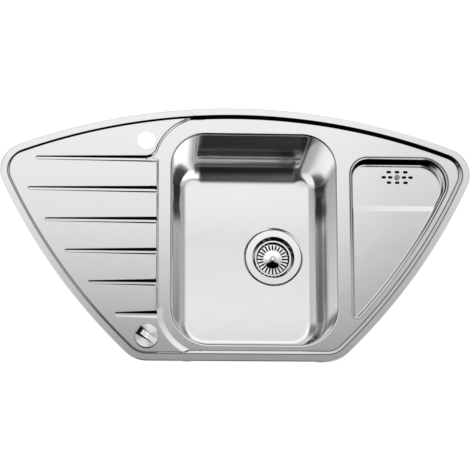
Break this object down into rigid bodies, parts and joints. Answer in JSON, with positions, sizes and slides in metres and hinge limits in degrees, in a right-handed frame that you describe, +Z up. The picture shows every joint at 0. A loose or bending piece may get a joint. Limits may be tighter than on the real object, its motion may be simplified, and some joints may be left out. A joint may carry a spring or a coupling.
{
  "type": "corner kitchen sink",
  "caption": "Fan-shaped stainless steel corner sink with a grooved drainer, a deep bowl, a small side tray and a knob-operated basket strainer waste.",
  "frame": {"origin": "middle of the sink's overall length and depth, on the worktop's top surface", "axes": "+Z up, +X to the right as seen by the user, +Y towards the curved back edge in the corner"},
  "size_m": [0.93, 0.51, 0.2774],
  "materials": {
    "silk_steel": "fine silk-gloss brushed stainless steel",
    "polished_steel": "polished stainless steel",
    "bright_chrome": "bright chrome plate",
    "zinc_steel": "bright zinc plate on pressed steel",
    "foam_strip": "closed-cell foam strip",
    "seal_rubber": "moulded black rubber",
    "white_plastic": "moulded white polypropylene",
    "black_plastic": "moulded black polypropylene",
    "grey_plastic": "moulded grey acetal",
    "cable_sheath": "extruded black cable sheath",
    "brass_sleeve": "turned brass",
    "damping_pad": "bitumen damping pad"
  },
  "bodies": {
    "sink": {"deck_sheet": "silk_steel", "main_bowl": "silk_steel", "side_tray": "silk_steel", "strainer_cup": "polished_steel", "cup_screws": "polished_steel", "overflow_screw": "bright_chrome", "knob_bezel": "bright_chrome", "clip_brackets": "zinc_steel", "clip_claws": "zinc_steel", "clip_bolts": "zinc_steel", "clip_nuts": "zinc_steel", "rim_seal": "foam_strip", "cup_gasket": "seal_rubber", "bowl_gasket": "seal_rubber", "crank_seal": "seal_rubber", "knob_gasket": "seal_rubber", "overflow_gasket": "seal_rubber", "overflow_washers": "seal_rubber", "overflow_housing": "black_plastic", "waste_body": "white_plastic", "crank_cover": "white_plastic", "overflow_pipe": "white_plastic", "overflow_nuts": "white_plastic", "knob_nut": "grey_plastic", "knob_housing": "grey_plastic", "housing_cover": "grey_plastic", "control_cable": "cable_sheath", "cable_ferrules": "brass_sleeve", "sound_pads": "damping_pad"},
    "knob": {"control_knob": "bright_chrome", "cable_drum": "grey_plastic", "drum_screw": "polished_steel"},
    "crank": {"crank_shaft": "polished_steel", "crank_lever": "grey_plastic"},
    "lift_pin": {"lift_pin": "polished_steel"},
    "basket": {"strainer_basket": "polished_steel", "basket_knob": "bright_chrome", "basket_stem": "grey_plastic", "basket_seal": "seal_rubber"}
  },
  "joints": [
    {"name": "knob_turn", "type": "hinge", "parent": "sink", "child": "knob", "pos_m": [-0.17533, -0.2057, 0], "axis": [0, 0, 1], "range_deg": [0, 90]},
    {"name": "crank_turn", "type": "hinge", "parent": "sink", "child": "crank", "pos_m": [0.0299, 0.0028, -0.222], "axis": [1, 0, 0], "range_deg": [-45, 0]},
    {"name": "pin_lift", "type": "slide", "parent": "sink", "child": "lift_pin", "axis": [0, 0, 1], "range_m": [0, 0.009]},
    {"name": "basket_lift", "type": "slide", "parent": "lift_pin", "child": "basket", "axis": [0, 0, 1], "range_m": [0, 0.2]}
  ],
  "couplings": [
    {"joint": "crank_turn", "follows": "knob_turn", "ratio": -0.5},
    {"joint": "pin_lift", "follows": "knob_turn", "m_per_rad": 0.0057296}
  ]
}
